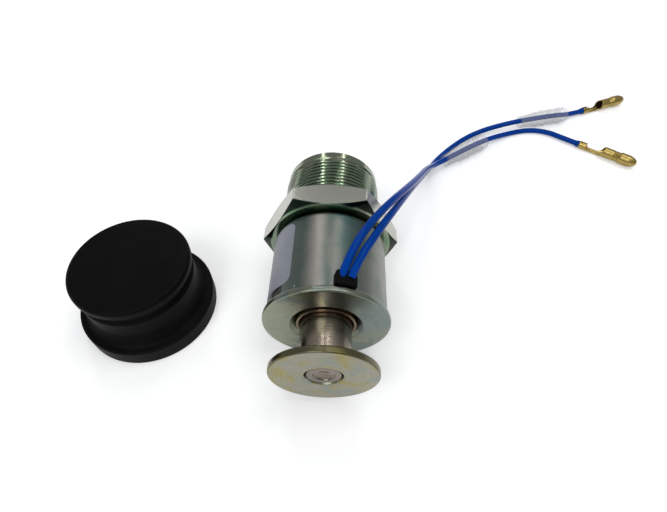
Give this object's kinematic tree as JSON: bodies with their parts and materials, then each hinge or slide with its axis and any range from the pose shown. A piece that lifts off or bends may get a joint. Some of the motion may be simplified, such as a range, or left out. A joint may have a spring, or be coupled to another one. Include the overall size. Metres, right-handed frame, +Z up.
{
  "type": "fuel shutoff solenoid",
  "caption": "Push-type fuel shutoff solenoid with a threaded nose, hexagon, sprung plunger and disc, blue leads with bullet terminals and a loose rubber cap.",
  "frame": {"origin": "on the solenoid's axis, in the plane of the hexagon's sealing face, where the threaded nose starts", "axes": "+Y along the solenoid's axis towards the tip of its nose, +Z up, +X towards the leads; it lies on a flat of the hexagon at z = -16 mm"},
  "size_m": [0.1881, 0.1329, 0.0356],
  "materials": {
    "nose_steel": "zinc plated, turned",
    "case_zinc": "zinc plated, fine grain",
    "plate_zinc": "zinc plated, satin",
    "tube_steel": "bright drawn",
    "plunger_nickel": "dark nickel, turned",
    "disc_zinc": "yellow zinc plated",
    "rod_steel": "ground",
    "spring_steel": "drawn wire",
    "washer_steel": "plain",
    "brass": "plain",
    "copper_winding": "enamelled wire",
    "bobbin_plastic": "moulded black",
    "winding_tape": "film",
    "rubber_black": "moulded",
    "lead_blue": "semi-gloss PVC insulation",
    "sleeve_clear": "soft, milky"
  },
  "bodies": {
    "solenoid": {"case_shell": "case_zinc", "end_plate": "plate_zinc", "nose_body": "nose_steel", "guide_tube": "tube_steel", "coil_bobbin": "bobbin_plastic", "coil_winding": "copper_winding", "winding_tape": "winding_tape", "coil_cushion": "rubber_black", "pole_shim": "brass", "return_spring": "spring_steel", "spring_washer": "washer_steel", "rod_bushing": "brass", "seal_retainer": "washer_steel", "rod_seal": "rubber_black", "wire_grommet": "rubber_black", "lead_wire_a": "lead_blue", "lead_wire_b": "lead_blue", "terminal_a": "brass", "terminal_b": "brass", "sleeve_a": "sleeve_clear", "sleeve_b": "sleeve_clear", "rubber_cap": "rubber_black"},
    "plunger_group": {"plunger": "plunger_nickel", "plunger_disc": "disc_zinc", "push_rod": "rod_steel"}
  },
  "joints": [
    {"name": "plunger_slide", "type": "slide", "parent": "solenoid", "child": "plunger_group", "axis": [0, 1, 0], "range_m": [0, 0.01], "stiffness_N_per_m": 1700, "springref_m": -0.006, "deforming": ["return_spring"]}
  ]
}
